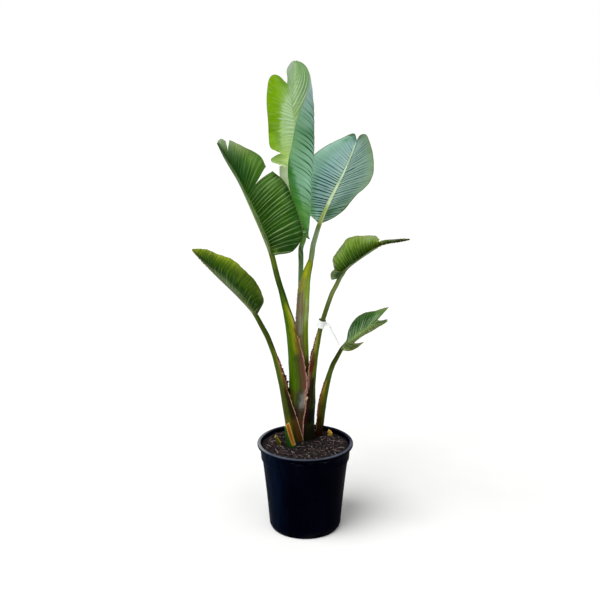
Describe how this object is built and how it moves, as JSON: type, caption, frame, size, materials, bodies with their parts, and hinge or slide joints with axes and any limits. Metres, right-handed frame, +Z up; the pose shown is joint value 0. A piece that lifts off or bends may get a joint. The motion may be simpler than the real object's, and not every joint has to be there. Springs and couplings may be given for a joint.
{
  "type": "potted giant white bird of paradise",
  "caption": "Tall foliage plant with large paddle-shaped, ribbed and torn leaves on clasping stalks, in a round black tapered nursery pot filled with potting mix.",
  "frame": {"origin": "centre of the pot's flat underside", "axes": "+Z up along the pot's axis, +X to the right of the fan of leaves, +Y to the back of the plant"},
  "size_m": [0.6225, 0.3187, 1.4321],
  "materials": {
    "pot_plastic": "satin",
    "potting_mix": "matte",
    "stalk_a": "satin",
    "blade_a": "satin",
    "stalk_b": "satin",
    "blade_b": "satin",
    "stalk_c": "satin",
    "blade_c": "satin",
    "stalk_d": "satin",
    "blade_d": "satin",
    "stalk_e": "satin",
    "blade_e": "satin",
    "stalk_f": "satin",
    "blade_f": "satin",
    "stub": "satin",
    "label": "satin"
  },
  "bodies": {
    "root": {"pot": "pot_plastic", "soil": "potting_mix", "leaf_a_stalk": "stalk_a", "leaf_a_blade": "blade_a", "leaf_b_stalk": "stalk_b", "leaf_b_blade": "blade_b", "leaf_c_stalk": "stalk_c", "leaf_c_blade": "blade_c", "leaf_d_stalk": "stalk_d", "leaf_d_blade": "blade_d", "leaf_e_stalk": "stalk_e", "leaf_e_blade": "blade_e", "leaf_f_stalk": "stalk_f", "leaf_f_blade": "blade_f", "cut_stub_front": "stub", "cut_stub_left": "stub", "cut_stub_right": "stub", "label_strap": "label"}
  },
  "joints": []
}
